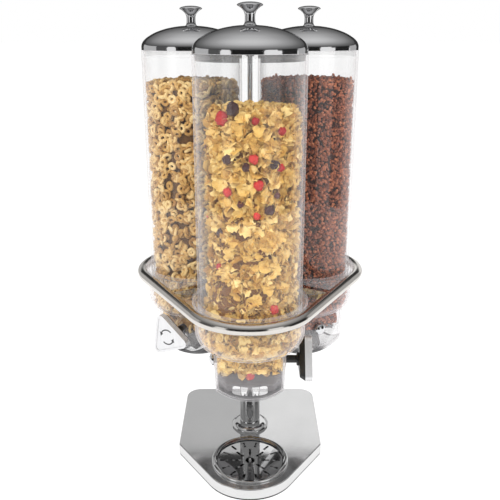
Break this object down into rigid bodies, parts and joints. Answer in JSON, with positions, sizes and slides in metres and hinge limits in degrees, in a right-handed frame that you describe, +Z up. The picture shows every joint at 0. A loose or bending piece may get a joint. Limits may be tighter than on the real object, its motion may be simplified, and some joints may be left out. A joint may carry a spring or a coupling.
{
  "type": "triple cereal dispenser",
  "caption": "Cereal dispenser: clear jars in a turning carrier on a post, each with a paddle rotor and knob, over a crumb tray in a polished base.",
  "frame": {"origin": "on the turning axis, at the surface that the base stands on", "axes": "+Z up along the post, -Y to the front where the crumb tray is"},
  "size_m": [0.32, 0.2999, 0.5996],
  "materials": {
    "mirror_steel": "mirror polished",
    "lid_chrome": "mirror polished",
    "plain_steel": "plain",
    "satin_metal": "satin",
    "clear_plastic": "clear gloss",
    "smoked_plastic": "smoked gloss",
    "black_plastic": "satin",
    "bush_plastic": "plain",
    "paddle_rubber": "satin",
    "rubber_pad": "matte",
    "seal_silicone": "satin"
  },
  "bodies": {
    "base": {"base_pad": "rubber_pad", "base_pan": "mirror_steel", "ballast_plate": "plain_steel", "ballast_screws": "plain_steel", "post": "mirror_steel", "post_bolt": "plain_steel", "post_flange": "mirror_steel", "pivot_bush": "bush_plastic"},
    "crumb_tray": {"crumb_tray": "mirror_steel"},
    "tray_grille": {"tray_grille": "mirror_steel"},
    "front_rotor": {"front_paddle_wheel": "paddle_rubber", "front_rotor_shaft": "black_plastic", "front_end_cap": "lid_chrome", "front_knob_back": "black_plastic", "front_knob_face": "satin_metal"},
    "front_jar": {"front_jar": "clear_plastic"},
    "front_lid": {"front_lid": "lid_chrome", "front_lid_seal": "seal_silicone", "front_lid_knob": "lid_chrome", "front_lid_screw": "plain_steel"},
    "right_rotor": {"right_paddle_wheel": "paddle_rubber", "right_rotor_shaft": "black_plastic", "right_end_cap": "lid_chrome", "right_knob_back": "black_plastic", "right_knob_face": "satin_metal"},
    "right_jar": {"right_jar": "clear_plastic"},
    "right_lid": {"right_lid": "lid_chrome", "right_lid_seal": "seal_silicone", "right_lid_knob": "lid_chrome", "right_lid_screw": "plain_steel"},
    "left_rotor": {"left_paddle_wheel": "paddle_rubber", "left_rotor_shaft": "black_plastic", "left_end_cap": "lid_chrome", "left_knob_back": "black_plastic", "left_knob_face": "satin_metal"},
    "left_jar": {"left_jar": "clear_plastic"},
    "left_lid": {"left_lid": "lid_chrome", "left_lid_seal": "seal_silicone", "left_lid_knob": "lid_chrome", "left_lid_screw": "plain_steel"},
    "carousel": {"carousel_hub": "plain_steel", "carrier_ring": "mirror_steel", "centre_rod": "mirror_steel", "rod_finial": "mirror_steel", "front_hopper": "clear_plastic", "front_outlet_bowl": "smoked_plastic", "front_rotor_trough": "clear_plastic", "right_hopper": "clear_plastic", "right_outlet_bowl": "smoked_plastic", "right_rotor_trough": "clear_plastic", "left_hopper": "clear_plastic", "left_outlet_bowl": "smoked_plastic", "left_rotor_trough": "clear_plastic"}
  },
  "joints": [
    {"name": "tray_lift", "type": "slide", "parent": "base", "child": "crumb_tray", "axis": [0, 0, 1], "range_m": [0, 0.05]},
    {"name": "grille_lift", "type": "slide", "parent": "crumb_tray", "child": "tray_grille", "axis": [0, 0, 1], "range_m": [0, 0.03]},
    {"name": "carousel_spin", "type": "hinge", "parent": "base", "child": "carousel", "pos_m": [0, 0, 0.23], "axis": [0, 0, 1], "continuous": true},
    {"name": "front_rotor_spin", "type": "hinge", "parent": "carousel", "child": "front_rotor", "pos_m": [0, -0.08701, 0.1687], "axis": [1, 0, 0], "continuous": true},
    {"name": "front_jar_lift", "type": "slide", "parent": "carousel", "child": "front_jar", "axis": [0, 0, 1], "range_m": [0, 0.06]},
    {"name": "front_lid_lift", "type": "slide", "parent": "front_jar", "child": "front_lid", "axis": [0, 0, 1], "range_m": [0, 0.08]},
    {"name": "right_rotor_spin", "type": "hinge", "parent": "carousel", "child": "right_rotor", "pos_m": [0.07535, 0.0435, 0.1687], "axis": [-0.5, 0.866, 0], "continuous": true},
    {"name": "right_jar_lift", "type": "slide", "parent": "carousel", "child": "right_jar", "axis": [0, 0, 1], "range_m": [0, 0.06]},
    {"name": "right_lid_lift", "type": "slide", "parent": "right_jar", "child": "right_lid", "axis": [0, 0, 1], "range_m": [0, 0.08]},
    {"name": "left_rotor_spin", "type": "hinge", "parent": "carousel", "child": "left_rotor", "pos_m": [-0.07535, 0.0435, 0.1687], "axis": [-0.5, -0.866, 0], "continuous": true},
    {"name": "left_jar_lift", "type": "slide", "parent": "carousel", "child": "left_jar", "axis": [0, 0, 1], "range_m": [0, 0.06]},
    {"name": "left_lid_lift", "type": "slide", "parent": "left_jar", "child": "left_lid", "axis": [0, 0, 1], "range_m": [0, 0.08]}
  ]
}
